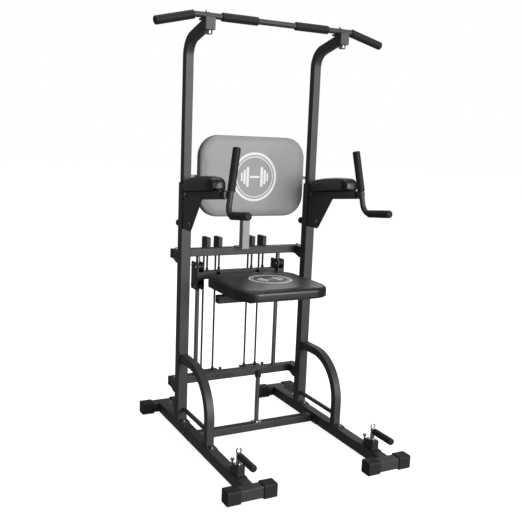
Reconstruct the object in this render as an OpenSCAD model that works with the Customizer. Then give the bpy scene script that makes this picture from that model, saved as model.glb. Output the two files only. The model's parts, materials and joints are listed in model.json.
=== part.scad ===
// Power tower: an assisted pull-up and dip stand.
// Millimetres. X runs to the right, Y to the back and Z up. The origin is on
// the floor, under the middle of the base. A user faces -Y with the back rest
// behind them. "Ahead" below means towards -Y, measured from the uprights' axis.

/* [Base] */
// Depth of the base over its rubber caps
base_depth = 1104; // [1000:1:1300]
// Distance between the centres of the two base rails, and of the uprights
rail_span = 680; // [640:1:760]
// Outside size of the rails, the cross feet and the lower uprights
frame_tube = 50; // [45:1:60]
// Length of a cross foot over its two caps
foot_length = 224; // [200:1:260]
// Outside size of a rubber foot cap
cap_size = 60; // [58:1:66]
// Length of a rubber foot cap
cap_length = 60; // [40:1:70]
// Wall of every steel tube
tube_wall = 2; // [1.5:0.5:3]

/* [Uprights] */
// Distance of the uprights behind the middle of the base
upright_back = 254; // [200:1:280]
// Height of the top of the lower uprights
lower_top = 1215; // [1150:1:1260]
// Outside size of the upper uprights
upper_tube = 40; // [38:1:41]
// Height of the foot of the upper uprights, inside the lower ones
upper_foot = 822; // [780:1:880]
// Height where the upper uprights start to bend
bend_start = 1791; // [1700:1:1850]
// Radius of that bend, to the middle of the tube
bend_radius = 86; // [70:1:120]
// Angle through which the tube bends forward
bend_turn = 76; // [60:1:85]
// Straight stretch of tube after the bend
reach = 164; // [120:1:200]
// Height of the height-setting pins
pin_height = 1022; // [990:1:1060]
// Spacing of the height holes
hole_step = 50; // [40:5:60]

/* [Pull-up bar] */
// Height of the bar's axis
bar_height = 1947; // [1930:1:1960]
// Distance of the bar ahead of the uprights
bar_ahead = 205; // [190:1:215]
// Diameter of the bar
bar_dia = 26; // [24:1:30]
// Half of the bar's straight middle
bar_half = 387; // [375:1:410]
// Half of the bar's whole width
bar_tip = 576; // [540:1:600]
// Slope of the bar's ends
bar_droop = 14.2; // [8:0.1:20]
// Diameter of the foam grips on the bar
bar_grip = 38; // [34:1:40]

/* [Side braces] */
// Height of the top of the braces
brace_top = 393; // [360:1:420]
// Distance of the front of the braces ahead of the uprights
brace_ahead = 371; // [340:1:400]
// Radius of the brace's bend, to the middle of the tube
brace_radius = 208; // [150:1:215]
// Outside size of the brace tube
brace_tube = 38; // [34:1:42]
// Height of the tie bars' axis
tie_height = 112; // [100:1:125]

/* [Crossbars] */
// Distance of the two crossbars behind the uprights
crossbar_back = 100; // [90:1:105]
// Height of the crossbars' section
crossbar_height = 38; // [35:1:40]
// Height of the middle of the upper crossbar
upper_crossbar_z = 870; // [850:1:890]
// Height of the middle of the lower crossbar
lower_crossbar_z = 221; // [205:1:240]
// Half of the crossbars' length
crossbar_half = 360; // [350:1:364]
// Distance of the floor crossbar ahead of the uprights
floor_bar_ahead = 160; // [150:1:175]
// Height of the top of the stop post's buffer
stop_top = 310; // [290:1:330]

/* [Carriage and seat] */
// Distance of each guide rod from the middle
rod_x = 225; // [215:1:235]
// Diameter of the guide rods
rod_dia = 22; // [20:1:24]
// Height of the bottom of the roller blocks
block_bottom = 682; // [670:1:700]
// Height of a roller block
block_height = 138; // [130:1:150]
// Half width of the seat
seat_half = 232; // [215:1:240]
// Distance of the seat's front edge ahead of the uprights
seat_ahead = 432; // [410:1:450]
// Distance of the seat's rear edge behind the uprights
seat_back = 14; // [0:1:20]
// Height of the underside of the seat pad
seat_z = 722; // [720:1:730]
// Thickness of the seat pad
seat_thick = 56; // [45:1:60]

/* [Elastic cords] */
// Distance of the inner cords from the middle
cord_inner_x = 93; // [85:1:100]
// Distance of the outer cords from the middle
cord_outer_x = 158; // [150:1:165]
// Diameter of a cord
cord_dia = 10; // [6:1:11]
// Height of the cord pulleys' axles
pulley_z = 902; // [896:1:906]
// Distance of the cord pulleys behind the uprights
pulley_back = 163; // [160:1:168]
// Radius at which a cord's axis runs round its pulley
cord_wrap = 22; // [20:1:23]

/* [Dip arms] */
// Upward slope of the arms
arm_slope = 5.5; // [0:0.1:8]
// Height of the arms' axis at the uprights
arm_z = 1157.5; // [1140:0.5:1165]
// Length of the arm tube, from the uprights' axis
arm_length = 435; // [400:1:460]
// Outside size of the arm tube
arm_tube = 38; // [34:1:42]
// Length of an arm pad
pad_length = 320; // [260:1:330]
// Width of an arm pad
pad_width = 92; // [80:1:100]
// Thickness of an arm pad
pad_thick = 66; // [45:1:70]
// Inward lean of the upright hand grips
handle_lean = 9.1; // [0:0.1:12]
// Diameter of the handle tube
handle_dia = 25; // [22:1:28]
// Diameter of the foam on the handles
handle_grip = 34; // [32:1:38]

/* [Back rest] */
// Half width of the back rest pad
rest_half = 283; // [220:1:290]
// Height of the underside of the back rest pad
rest_bottom = 1058; // [1040:1:1080]
// Height of the back rest pad
rest_height = 387; // [340:1:400]
// Thickness of the back rest pad
rest_thick = 50; // [40:1:55]

/* [Push-up handles] */
// Distance of the push-up handles' posts ahead of the uprights
push_ahead = 662; // [640:1:680]
// Height of the push-up grips' axis
push_z = 141; // [130:1:150]
// Diameter of the push-up foam grips
push_grip = 31; // [28:1:34]

/* [Hidden] */

// Finishes, as plain colours
steel = "#3a3b3d";
rubber = "#1b1b1c";
foam = "#202021";
vinyl = "#262628";
pale = "#a9a9aa";
chrome = "#c9ccd0";
zinc = "#9ea2a6";

// Layout
sides = [-1, 1];
rail_x = rail_span / 2;
tube_corner = 4;
bolt_size = 8;
rail_z = cap_size / 2;
rail_top = rail_z + frame_tube / 2;
foot_y = base_depth / 2 - cap_size / 2;
upright_front = upright_back - frame_tube / 2;
upright_rear = upright_back + frame_tube / 2;

// Pull-up frame
bend_end_y = bend_radius * (1 - cos(bend_turn));
bend_end_z = bend_start + bend_radius * sin(bend_turn);
clamp_width = 44;
clamp_depth = 44;
clamp_ahead = 23;
clamp_height = 52;
clamp_drop = 24;
saddle_back = 14;
saddle_height = 8;
clamp_knob = 32;
clamp_knob_height = 18;
clamp_knob_rim = 4;
sleeve_height = 60;
sleeve_lip = 4;
sleeve_gap = 0.3;

// Pull-up bar grips
inner_grip_from = 96;
inner_grip_to = 270;
bar_bend = 60;
outer_grip_length = (bar_tip - bar_half - bar_bend * sin(bar_droop)) / cos(bar_droop);
bar_end_gap = 4;
bend_overlap = 1;
hair = 0.05;

// Height pins
pin_dia = 10;
pin_barrel = 22;
pin_barrel_length = 26;
pin_knob = 34;
pin_knob_length = 26;
pin_knob_rim = 5;
pin_rod_in_knob = 20;
pin_stop_gap = 0.5;

// Uprights' feet
tie_bar = 16;
flange_thick = 4;
flange_length = 120;

// Crossbar brackets
crossbar_y = upright_back + crossbar_back;
crossbar_rear = crossbar_y + frame_tube / 2;
shelf = 5;
bracket_wall = 4;
bracket_drop = 18;

// Floor crossbar and stop post
floor_bar_y = upright_back - floor_bar_ahead;
floor_bar_size = 38;
floor_bar_z = 27;
floor_plate_length = 130;
floor_bar_bolts = [-50, 50];
stop_plate = 44;
buffer_rim = 4;
post_dia = 22;
buffer_dia = 31;
buffer_height = 30;

// Roller blocks
roller_groove = rod_dia / 2 + 0.4;
roller_min = 14;
roller_max = 17;
roller_width = 24;
roller_offset = roller_groove + roller_min;
roller_inset = 20;
axle_dia = 8;
block_inner = 14;
block_plate = 4;
block_half_depth = 42;
beam_size = 40;
beam_z = 753;
web_height = 40;

// Seat frame
seat_arm_x = 110;
seat_arm_setback = 150;
seat_arm_width = 30;
seat_arm_height = 38;
seat_cross_half = 230;
seat_corner = 60;
seat_cross_z = 667;

// Cord pulleys
cord_xs = [-cord_outer_x, -cord_inner_x, cord_inner_x, cord_outer_x];
pulley_y = upright_back + pulley_back;
pulley_width = 13;
pulley_rim = cord_wrap + 2;
housing_wall = 3;
housing_inner = 14;
housing_half = 28;
housing_above = 33;
housing_below = 26;
pulley_pin = 8;
lug_z = 765;
anchor_z = 225;
anchor_from = 67;
anchor_to = 181;

// Dip arms
arm_lug = 26;
gusset_wall = 3;
gusset_bottom = 1004;
gusset_foot = 100;
gusset_chamfer = 16;
gusset_top = 224;
gusset_bolts = [[60, 1165], [125, 1042]];
pad_gap = 37;
elbow_y = 478;
elbow_z = 86;
elbow_radius = 42;
forward_end = 194;
upright_end = 285;
foam_from = 102;

// Back rest
rest_corner = 105;
rest_front = upright_back - 42;
rest_rear = rest_front + rest_thick;
post_size = 40;
post_y = upright_back + 47;
post_bottom = 893;
post_top = 1400;
rest_bar_dia = 16;
rest_bar_z = 1247;
rest_bar_y = (rest_rear + post_y - post_size / 2) / 2;
rest_clamp = 60;
rest_pad_plate = 90;
rest_plate_zs = [1130, 1350];
rest_bar_half = 317;

// Push-up handles
push_y = upright_back - push_ahead;
push_post = 20;
push_grip_from = 16;
push_grip_length = 127;
push_eye = 22;
eye_wire = 6;
push_spigot = 20;
push_collar = 32;
socket_top = 98;
socket_length = 56;
socket_width = 40;
lock_y = push_y + 58;
lock_dia = 8;

// Shared shapes ---------------------------------------------------------

// A rectangle with round corners, centred
module soft_rect(w, d, r) {
    union() {
        square([w - 2 * r, d], center = true);
        square([w, d - 2 * r], center = true);
        for (x = sides, y = sides)
            translate([x * (w / 2 - r), y * (d / 2 - r)]) circle(r = r, $fn = 32);
    }
}

// The section of a square or oblong steel tube
module tube_section(w, d) {
    difference() {
        soft_rect(w, d, tube_corner);
        soft_rect(w - 2 * tube_wall, d - 2 * tube_wall, tube_corner - tube_wall / 2);
    }
}

// A tube along Z, closed at both ends with welded plugs
module closed_tube(w, d, length) {
    difference() {
        linear_extrude(length) soft_rect(w, d, tube_corner);
        translate([0, 0, tube_wall])
            linear_extrude(length - 2 * tube_wall)
                soft_rect(w - 2 * tube_wall, d - 2 * tube_wall, tube_corner - tube_wall / 2);
    }
}

// A closed tube along X, centred on its middle
module tube_x(height, depth, length) {
    translate([-length / 2, 0, 0]) rotate([0, 90, 0]) closed_tube(height, depth, length);
}

// A closed tube along +Y from the origin
module tube_y(w, height, length) {
    rotate([-90, 0, 0]) closed_tube(w, height, length);
}

// A hexagon bolt head with its washer, standing on the XY plane
module bolt_head(size) {
    union() {
        cylinder(d = size * 2.2, h = size * 0.2, $fn = 48);
        cylinder(d = size * 1.9, h = size * 0.85, $fn = 6);
    }
}

// A foam sleeve along Z with rounded rims, over a tube
module foam_sleeve(outer, inner, length) {
    rim = (outer - inner) / 4;
    rotate_extrude($fn = 64)
        translate([inner / 2, 0]) {
            translate([0, rim]) square([(outer - inner) / 2, length - 2 * rim]);
            square([(outer - inner) / 2 - rim, length]);
            for (z = [rim, length - rim])
                translate([(outer - inner) / 2 - rim, z]) circle(r = rim, $fn = 32);
        }
}

// A foam sleeve whose far end is closed over the tube
module foam_cap(outer, inner, length) {
    rim = outer / 5;
    difference() {
        rotate_extrude($fn = 64)
            intersection() {
                square([outer, length]);
                union() {
                    square([outer / 2, length - rim]);
                    square([outer / 2 - rim, length]);
                    translate([outer / 2 - rim, length - rim]) circle(r = rim, $fn = 32);
                }
            }
        translate([0, 0, -1]) cylinder(d = inner, h = length - 3 + 1, $fn = 64);
    }
}

// A slab on the XY plane, with round corners
module slab(w, d, h, r) {
    linear_extrude(h) soft_rect(w, d, r);
}

// A flat plate given by an outline in Y and Z, centred on X
module side_plate(thick, points) {
    translate([-thick / 2, 0, 0])
        rotate([90, 0, 90]) linear_extrude(thick) polygon(points);
}

// Base ------------------------------------------------------------------

module base_frame(side) {
    rail_length = 2 * foot_y - frame_tube;
    color(steel) translate([side * rail_x, 0, rail_z]) {
        translate([0, -rail_length / 2, 0]) tube_y(frame_tube, frame_tube, rail_length);
        for (end = sides)
            translate([0, end * foot_y, 0])
                tube_x(frame_tube, frame_tube, foot_length - 2 * tube_wall);
    }
}

module foot_caps() {
    seat_depth = cap_length - tube_wall;
    color(rubber)
        for (side = sides, end = sides, tip = sides)
            translate([side * rail_x + tip * foot_length / 2, end * foot_y, rail_z])
                rotate([0, -tip * 90, 0])
                    difference() {
                        slab(cap_size, cap_size, cap_length, 6);
                        translate([0, 0, tube_wall]) slab(frame_tube, frame_tube, seat_depth + 1, tube_corner);
                    }
}

module floor_crossbar() {
    inside = rail_span - frame_tube;
    color(steel) translate([0, floor_bar_y, floor_bar_z]) {
        tube_x(floor_bar_size, floor_bar_size, inside);
        for (side = sides)
            translate([side * (inside / 2 - flange_thick / 2), 0, 0])
                rotate([90, 0, 90]) translate([0, 0, -flange_thick / 2])
                    slab(floor_plate_length, floor_bar_size, flange_thick, 6);
    }
}

module stop_post() {
    color(chrome) translate([0, floor_bar_y, floor_bar_z + floor_bar_size / 2]) {
        slab(stop_plate, floor_bar_size, flange_thick, tube_corner);
        cylinder(d = post_dia, h = stop_top - buffer_height - floor_bar_z - floor_bar_size / 2, $fn = 64);
    }
}

module stop_buffer() {
    color(rubber) translate([0, floor_bar_y, stop_top - buffer_height])
        rotate_extrude($fn = 64) {
            square([buffer_dia / 2 - buffer_rim, buffer_height]);
            square([buffer_dia / 2, buffer_height - buffer_rim]);
            translate([buffer_dia / 2 - buffer_rim, buffer_height - buffer_rim])
                circle(r = buffer_rim, $fn = 32);
        }
}

// Uprights --------------------------------------------------------------

// Bracket that carries a crossbar behind an upright
module crossbar_bracket(middle_z) {
    top = middle_z + crossbar_height / 2;
    under = middle_z - crossbar_height / 2;
    front = frame_tube / 2;
    back = crossbar_back + frame_tube / 2 - 3;
    face = crossbar_back - frame_tube / 2;
    for (x = sides)
        translate([x * (frame_tube / 2 - bracket_wall / 2), 0, 0])
            side_plate(bracket_wall, [
                [front - 1, top], [face, top], [face, under], [back, under],
                [back, under - shelf], [face, under - shelf],
                [front + 14, under - bracket_drop], [front - 1, under - bracket_drop]
            ]);
    translate([0, (face + back) / 2, under - shelf])
        slab(frame_tube, back - face, shelf, 1);
    translate([0, (front + face) / 2 - 1, top - bracket_wall])
        slab(frame_tube, face - front + 2, bracket_wall, 1);
}

module lower_upright(side) {
    inner = frame_tube - 2 * tube_wall;
    color(steel) translate([side * rail_x, upright_back, 0])
        difference() {
            union() {
                translate([0, 0, rail_top]) linear_extrude(lower_top - rail_top)
                    soft_rect(frame_tube, frame_tube, tube_corner);
                translate([0, -8, rail_top])
                    slab(frame_tube, flange_length, flange_thick, tube_corner);
                for (z = [upper_crossbar_z, lower_crossbar_z]) crossbar_bracket(z);
                translate([0, frame_tube / 2 - 1, pin_height]) rotate([-90, 0, 0])
                    cylinder(d = pin_barrel, h = pin_barrel_length + 1, $fn = 48);
            }
            translate([0, 0, rail_top + flange_thick])
                linear_extrude(lower_top) soft_rect(inner, inner, tube_corner - tube_wall / 2);
            translate([0, 0, pin_height]) rotate([-90, 0, 0])
                cylinder(d = pin_dia + 2 * sleeve_gap, h = frame_tube + pin_barrel_length, $fn = 48);
        }
}

// Plastic guides in the mouths of the lower uprights
module upright_sleeves() {
    outer = frame_tube - 2 * tube_wall;
    bore = upper_tube + 2 * sleeve_gap;
    color(rubber)
        for (side = sides)
            translate([side * rail_x, upright_back, lower_top - sleeve_height])
                difference() {
                    union() {
                        slab(outer, outer, sleeve_height, tube_corner - tube_wall / 2);
                        translate([0, 0, sleeve_height]) slab(frame_tube, frame_tube, sleeve_lip, tube_corner);
                    }
                    translate([0, 0, -1])
                        slab(bore, bore, sleeve_height + sleeve_lip + 2, tube_corner + sleeve_gap);
                }
}

// The bent tube's solid, at one section size
module bent_tube(size, corner, end_gap) {
    translate([0, 0, upper_foot + end_gap])
        linear_extrude(bend_start - upper_foot - end_gap) soft_rect(size, size, corner);
    translate([0, -bend_radius, bend_start])
        rotate([90, 0, 90]) rotate_extrude(angle = bend_turn, $fn = 96)
            translate([bend_radius, 0]) soft_rect(size, size, corner);
    translate([0, -bend_end_y, bend_end_z])
        rotate([bend_turn, 0, 0])
            linear_extrude(reach - end_gap) soft_rect(size, size, corner);
}

module upper_upright(side) {
    holes = [for (k = [-3 : 2]) pin_height + k * hole_step];
    color(steel) translate([side * rail_x, upright_back, 0])
        difference() {
            bent_tube(upper_tube, tube_corner, 0);
            bent_tube(upper_tube - 2 * tube_wall, tube_corner - tube_wall / 2, tube_wall);
            for (z = holes)
                translate([0, 0, z]) rotate([-90, 0, 0])
                    cylinder(d = pin_dia + 1, h = upper_tube, $fn = 48);
        }
}

// A pop pin behind each upright: knob outside, pin through the barrel
module height_pin(side) {
    reach_in = (frame_tube - upper_tube) / 2 - pin_stop_gap;
    rim = pin_knob_rim;
    color(rubber) translate([side * rail_x, upright_rear, pin_height]) rotate([-90, 0, 0]) {
        translate([0, 0, -reach_in]) cylinder(d = pin_dia, h = reach_in + pin_barrel_length + pin_rod_in_knob, $fn = 48);
        translate([0, 0, pin_barrel_length + 1])
            rotate_extrude($fn = 64) {
                square([pin_knob / 2 - rim, pin_knob_length]);
                translate([0, rim]) square([pin_knob / 2, pin_knob_length - 2 * rim]);
                for (z = [rim, pin_knob_length - rim])
                    translate([pin_knob / 2 - rim, z]) circle(r = rim, $fn = 32);
            }
    }
}

// Pull-up bar -----------------------------------------------------------

// Half of the bar: straight, a short bend and the drooping stretch. Both straight
// stretches run a little way into the bend and are a hair thinner than it.
module half_bar() {
    thin = bar_dia - 2 * hair;
    run = outer_grip_length - bar_end_gap;
    translate([bar_half, 0, 0]) {
        rotate([0, -90, 0]) translate([0, 0, -bend_overlap])
            cylinder(d = thin, h = bar_half + bend_overlap, $fn = 48);
        translate([0, 0, -bar_bend])
            rotate([90, 0, 0]) rotate([0, 0, 90 - bar_droop])
                rotate_extrude(angle = bar_droop, $fn = 96)
                    translate([bar_bend, 0]) circle(d = bar_dia, $fn = 48);
        on_bar_end() translate([0, 0, -bend_overlap])
            cylinder(d = thin, h = run + bend_overlap, $fn = 48);
    }
}

// The frame at the end of the bar's bend, with Z along the drooping stretch
module on_bar_end() {
    translate([bar_bend * sin(bar_droop), 0, bar_bend * cos(bar_droop) - bar_bend])
        rotate([0, 90 + bar_droop, 0]) children();
}

module pull_up_bar() {
    color(steel) translate([0, upright_back - bar_ahead, bar_height])
        for (turn = [0, 180]) rotate([0, 0, turn]) half_bar();
}

module bar_grips() {
    color(foam) translate([0, upright_back - bar_ahead, bar_height])
        for (side = sides) {
            translate([side * inner_grip_from, 0, 0]) rotate([0, side * 90, 0])
                foam_sleeve(bar_grip, bar_dia, inner_grip_to - inner_grip_from);
            mirror([side > 0 ? 0 : 1, 0, 0]) translate([bar_half, 0, 0]) on_bar_end()
                foam_cap(bar_grip, bar_dia, outer_grip_length);
        }
}

// Saddles that hold the bar on the upper uprights
module bar_clamps() {
    color(steel)
        for (side = sides)
            translate([side * rail_x, upright_back - bar_ahead, bar_height])
                difference() {
                    union() {
                        translate([0, -clamp_ahead, -bar_dia / 2 - clamp_drop])
                            cube([clamp_width, clamp_depth, clamp_height], center = true);
                        translate([0, saddle_back, -bar_dia / 2 - 2])
                            cube([clamp_width, clamp_depth, saddle_height], center = true);
                    }
                    rotate([0, 90, 0]) cylinder(d = bar_dia, h = clamp_width + 2, center = true, $fn = 64);
                    translate([0, bar_ahead, -bar_height]) bent_tube(upper_tube, tube_corner, 0);
                }
}

module clamp_bolts() {
    rim = clamp_knob_rim;
    color(zinc)
        for (side = sides)
            translate([side * rail_x, upright_back - bar_ahead, bar_height]) {
                translate([0, 0, bar_dia / 2]) bolt_head(bolt_size);
                translate([0, -clamp_ahead, -bar_dia / 2 - clamp_drop - clamp_height / 2])
                    rotate([180, 0, 0]) rotate_extrude($fn = 64) {
                        square([clamp_knob / 2 - rim, clamp_knob_height]);
                        translate([0, rim]) square([clamp_knob / 2, clamp_knob_height - 2 * rim]);
                        for (z = [rim, clamp_knob_height - rim])
                            translate([clamp_knob / 2 - rim, z]) circle(r = rim, $fn = 32);
                    }
            }
}

// Side braces -----------------------------------------------------------

module side_brace(side) {
    top_z = brace_top - brace_tube / 2;
    front_y = -brace_ahead + brace_tube / 2;
    bend_y = front_y + brace_radius;
    bend_z = top_z - brace_radius;
    foot_z = rail_top + flange_thick;
    tie_from = -frame_tube / 2;
    color(steel) translate([side * rail_x, upright_back, 0]) {
        translate([0, 0, foot_z]) linear_extrude(bend_z - foot_z)
            translate([0, front_y]) tube_section(brace_tube, brace_tube);
        translate([0, bend_y, bend_z]) rotate([90, 0, -90])
            rotate_extrude(angle = 90, $fn = 128)
                translate([brace_radius, 0]) tube_section(brace_tube, brace_tube);
        translate([0, bend_y, top_z]) rotate([-90, 0, 0])
            linear_extrude(-frame_tube / 2 - flange_thick - bend_y) tube_section(brace_tube, brace_tube);
        translate([0, -frame_tube / 2 - flange_thick, top_z]) rotate([-90, 0, 0])
            slab(brace_tube + 6, brace_tube + 24, flange_thick, tube_corner);
        translate([0, front_y - 10, rail_top]) slab(frame_tube - 4, 96, flange_thick, tube_corner);
        translate([-side * 8, front_y + brace_tube / 2, tie_height]) rotate([-90, 0, 0])
            slab(tie_bar, tie_bar, tie_from - front_y - brace_tube / 2, 2);
    }
}

// Crossbars and guide rods ----------------------------------------------

module crossbar(middle_z) {
    color(steel) translate([0, crossbar_y, middle_z])
        difference() {
            tube_x(crossbar_height, frame_tube, 2 * crossbar_half);
            for (side = sides)
                translate([side * rod_x, 0, -crossbar_height])
                    cylinder(d = rod_dia, h = 2 * crossbar_height, $fn = 64);
        }
}

module guide_rods() {
    low = lower_crossbar_z - crossbar_height / 2;
    high = upper_crossbar_z + crossbar_height / 2;
    color(chrome)
        for (side = sides)
            translate([side * rod_x, crossbar_y, low]) cylinder(d = rod_dia, h = high - low, $fn = 64);
}

// Every bolt that shows on the fixed frame
module frame_bolts() {
    shelf_top = crossbar_height / 2;
    color(zinc)
        for (side = sides) {
            for (y = floor_bar_bolts)
                translate([side * (rail_x + frame_tube / 2), floor_bar_y + y, floor_bar_z])
                    rotate([0, side * 90, 0]) bolt_head(bolt_size);
            for (y = [upright_front - 24, upright_back - brace_ahead - 17])
                translate([side * rail_x, y, rail_top + flange_thick]) bolt_head(bolt_size);
            for (z = [upper_crossbar_z, lower_crossbar_z])
                translate([side * rail_x, crossbar_y, z + shelf_top]) bolt_head(bolt_size);
            for (at = gusset_bolts)
                translate([side * rail_x - arm_tube / 2 - gusset_wall, upright_back - at[0], at[1]])
                    rotate([0, -90, 0]) bolt_head(bolt_size);
            translate([side * rail_x + arm_tube / 2, upright_back - gusset_bolts[0][0], gusset_bolts[0][1]])
                rotate([0, 90, 0]) bolt_head(bolt_size);
        }
}

// Carriage and seat -----------------------------------------------------

roller_zs = [block_bottom + roller_inset, block_bottom + block_height - roller_inset];

module carriage() {
    beam_half = rod_x - block_inner - block_plate;
    color(steel) translate([0, crossbar_y, 0]) {
        translate([0, 0, beam_z]) tube_x(beam_size, beam_size, 2 * beam_half);
        for (side = sides) translate([side * rod_x, 0, 0]) {
            for (x = sides)
                translate([x * (block_inner + block_plate / 2), 0, block_bottom + block_height / 2])
                    difference() {
                        rotate([90, 0, 90]) translate([0, 0, -block_plate / 2])
                            slab(2 * block_half_depth, block_height, block_plate, 10);
                        for (y = sides, z = sides)
                            translate([0, y * roller_offset, z * (block_height / 2 - roller_inset)])
                                rotate([0, 90, 0]) cylinder(d = axle_dia, h = 20, center = true, $fn = 48);
                    }
            for (y = sides)
                translate([0, y * (block_half_depth - block_plate / 2), beam_z])
                    cube([2 * block_inner, block_plate, web_height], center = true);
        }
        for (x = cord_xs)
            translate([x, 0, lug_z - 6])
                linear_extrude(8) {
                    translate([-10, beam_size / 2 - 1])
                        square([20, crossbar_back / 2 - beam_size / 2 - 8]);
                    translate([0, pulley_back - cord_wrap - crossbar_back]) circle(d = 20, $fn = 48);
                }
    }
}

module roller_axles() {
    length = 2 * (block_inner + block_plate);
    color(zinc)
        for (side = sides, y = sides, z = roller_zs)
            translate([side * rod_x, crossbar_y + y * roller_offset, z]) rotate([0, 90, 0]) {
                cylinder(d = axle_dia, h = length, center = true, $fn = 48);
                for (end = sides)
                    mirror([0, 0, end > 0 ? 0 : 1])
                        translate([0, 0, length / 2]) bolt_head(7);
            }
}

// A grooved roller that runs on a guide rod
module roller(side, upper, rear) {
    y = rear ? 1 : -1;
    color(rubber)
        translate([side * rod_x, crossbar_y + y * roller_offset, roller_zs[upper ? 1 : 0]])
            rotate([0, 90, 0]) rotate_extrude($fn = 64)
                difference() {
                    translate([axle_dia / 2 + 0.05, -roller_width / 2])
                        square([roller_max - axle_dia / 2 - 0.05, roller_width]);
                    translate([roller_offset, 0]) circle(r = roller_groove, $fn = 64);
                }
}

module seat_frame() {
    rear = crossbar_y - beam_size / 2;
    front = upright_back - seat_ahead + seat_arm_setback;
    low = seat_z - seat_arm_height;
    color(steel) {
        for (side = sides) {
            translate([side * seat_arm_x, front, seat_z - seat_arm_height / 2])
                tube_y(seat_arm_width, seat_arm_height, rear - front);
            translate([side * seat_arm_x, rear - 13, low])
                closed_tube(seat_arm_width, 26, beam_z + beam_size / 2 - low);
        }
        translate([0, floor_bar_y, seat_cross_z + seat_arm_height / 2])
            tube_x(seat_arm_height, seat_arm_height, 2 * seat_cross_half);
        translate([0, front + 15, seat_z - 4])
            slab(2 * seat_arm_x + seat_arm_width, 30, 4, 2);
    }
}

module seat_pad() {
    depth = seat_ahead + seat_back;
    color(vinyl)
        translate([0, upright_back + (seat_back - seat_ahead) / 2, seat_z])
            slab(2 * seat_half, depth, seat_thick, seat_corner);
}

// Elastic cords ---------------------------------------------------------

module cord_pulley(x) {
    color(rubber)
        translate([x, pulley_y, pulley_z]) rotate([0, 90, 0]) rotate_extrude($fn = 64)
            difference() {
                translate([pulley_pin / 2 + 0.05, -pulley_width / 2])
                    square([pulley_rim - pulley_pin / 2 - 0.05, pulley_width]);
                translate([cord_wrap, 0]) circle(d = cord_dia + 0.6, $fn = 48);
                translate([cord_wrap, -cord_dia / 2 - 0.3]) square([cord_dia, cord_dia + 0.6]);
            }
}

// A cover over each pulley, bolted to the back of the upper crossbar
module pulley_housings() {
    outer = housing_inner + 2 * housing_wall;
    tall = housing_above + housing_below;
    color(rubber)
        for (x = cord_xs)
            translate([x, pulley_y, pulley_z]) {
                difference() {
                    translate([-outer / 2, crossbar_rear - pulley_y, -housing_below])
                        cube([outer, pulley_y - crossbar_rear + housing_half + 2, tall]);
                    translate([-housing_inner / 2, -housing_half, -housing_below - 1])
                        cube([housing_inner, 2 * housing_half, tall - 1]);
                }
                rotate([0, 90, 0]) cylinder(d = pulley_pin, h = outer, center = true, $fn = 48);
            }
}

// The runs of the cords that stretch as the carriage goes down
module cord_front_runs() {
    color(foam)
        for (x = cord_xs)
            translate([x, pulley_y - cord_wrap, lug_z + 2]) cylinder(d = cord_dia, h = pulley_z - lug_z - 2, $fn = 32);
}

// The rest of each cord: over its pulley and down to its anchor
module cord_back_runs() {
    color(foam)
        for (x = cord_xs)
            translate([x, pulley_y, pulley_z]) {
                rotate([90, 0, 90]) rotate_extrude(angle = 180, $fn = 64)
                    translate([cord_wrap, 0]) circle(d = cord_dia, $fn = 32);
                translate([0, cord_wrap, anchor_z - pulley_z])
                    cylinder(d = cord_dia, h = pulley_z - anchor_z, $fn = 32);
            }
}

// Plates behind the lower crossbar that hold the ends of the cords
module cord_anchors() {
    width = anchor_to - anchor_from;
    color(rubber)
        for (side = sides)
            translate([side * (anchor_from + anchor_to) / 2, 0, 0]) {
                translate([-width / 2, crossbar_rear, anchor_z - 8])
                    cube([width, pulley_y + cord_wrap + 12 - crossbar_rear, 8]);
                for (end = sides)
                    translate([end * (width / 2 - 5), crossbar_rear, anchor_z - 8])
                        translate([-5, 0, 0]) cube([10, 14, 32]);
            }
}

// Dip arms --------------------------------------------------------------

// Places a dip arm's parts: -Y runs along the arm from the uprights' axis
module on_arm(side) {
    translate([side * rail_x, upright_back, arm_z])
        rotate([-arm_slope, 0, 0]) mirror([side < 0 ? 1 : 0, 0, 0]) children();
}

module dip_arm(side) {
    face = frame_tube / 2;
    under = arm_z + gusset_top * tan(arm_slope) - arm_tube / 2;
    color(steel) {
        difference() {
            on_arm(side) translate([0, -arm_length, 0]) tube_y(arm_tube, arm_tube, arm_length - face + 4);
            translate([side * rail_x, upright_back, lower_top / 2])
                cube([2 * frame_tube, frame_tube, 3 * lower_top], center = true);
        }
        difference() {
            on_arm(side) translate([0, -elbow_y + handle_dia / 2 - 3, 0]) rotate([-90, 0, 0])
                slab(arm_lug, arm_lug, elbow_y - arm_length - handle_dia / 2 + 3, 2);
            on_handle(side) cylinder(d = handle_dia, h = upright_end, $fn = 48);
        }
        translate([side * rail_x, upright_back, 0]) {
            translate([-(arm_tube + gusset_wall) / 2, 0, 0])
                side_plate(gusset_wall, [
                    [-face, gusset_bottom], [-face - gusset_foot, gusset_bottom],
                    [-face - gusset_foot - gusset_chamfer, gusset_bottom + gusset_chamfer],
                    [-gusset_top - face, under], [-gusset_top - face, under + 14],
                    [-face, arm_z + arm_tube / 2]
                ]);
            translate([0, -face - flange_thick, gusset_bottom])
                rotate([-90, 0, 0]) translate([0, -(lower_top - gusset_bottom) / 2, 0])
                    slab(frame_tube, lower_top - gusset_bottom, flange_thick, 3);
        }
    }
}

module arm_pad(side) {
    color(vinyl) on_arm(side)
        translate([0, -frame_tube / 2 - pad_gap - pad_length / 2, arm_tube / 2])
            slab(pad_width, pad_length, pad_thick, 22);
}

// Frame of the bent handle: its elbow, leaning inwards
module on_handle(side) {
    on_arm(side) translate([2, -elbow_y, -elbow_z]) rotate([0, -handle_lean, 0]) children();
}

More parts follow.
